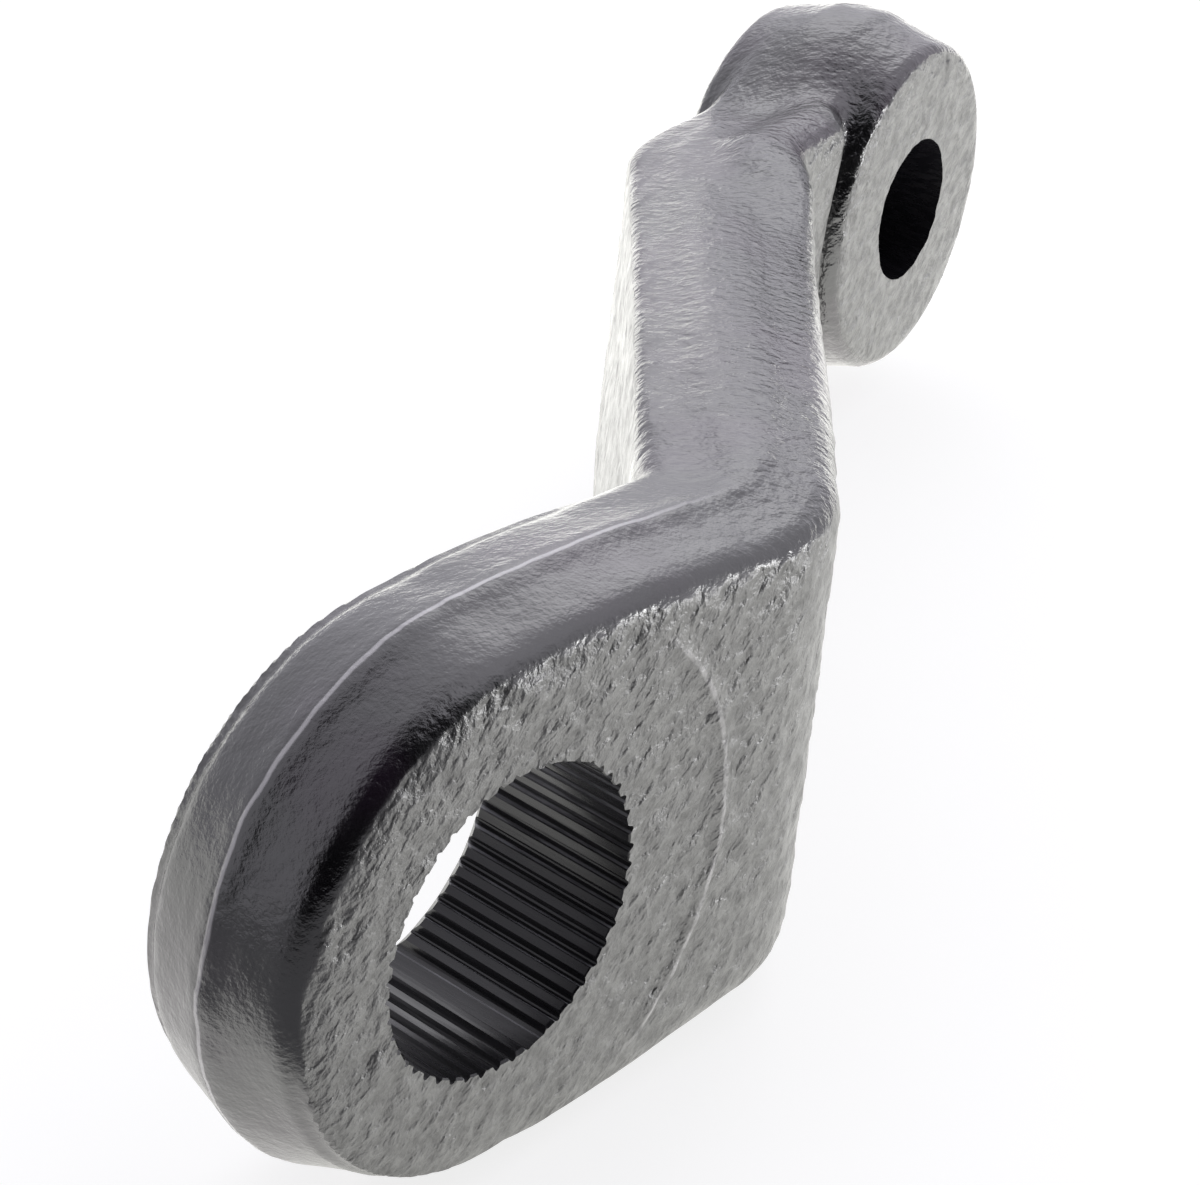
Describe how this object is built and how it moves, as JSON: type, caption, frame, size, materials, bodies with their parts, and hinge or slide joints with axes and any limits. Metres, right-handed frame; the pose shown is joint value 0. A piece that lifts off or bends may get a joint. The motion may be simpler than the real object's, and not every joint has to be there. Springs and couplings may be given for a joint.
{
  "type": "pitman arm",
  "caption": "Forged steel pitman arm with a serrated eye for a steering gear shaft, two bends and a tapered hole for a ball stud.",
  "frame": {"origin": "middle of the serrated bore, in the plane where the forging dies met", "axes": "+X from the eye towards the stud hole, +Y along the bore out of its chamfered end, +Z across the arm"},
  "size_m": [0.2305, 0.1181, 0.0602],
  "materials": {
    "paint": "semi-gloss black paint over a forged surface"
  },
  "bodies": {
    "root": {"pitman_arm": "paint"}
  },
  "joints": []
}
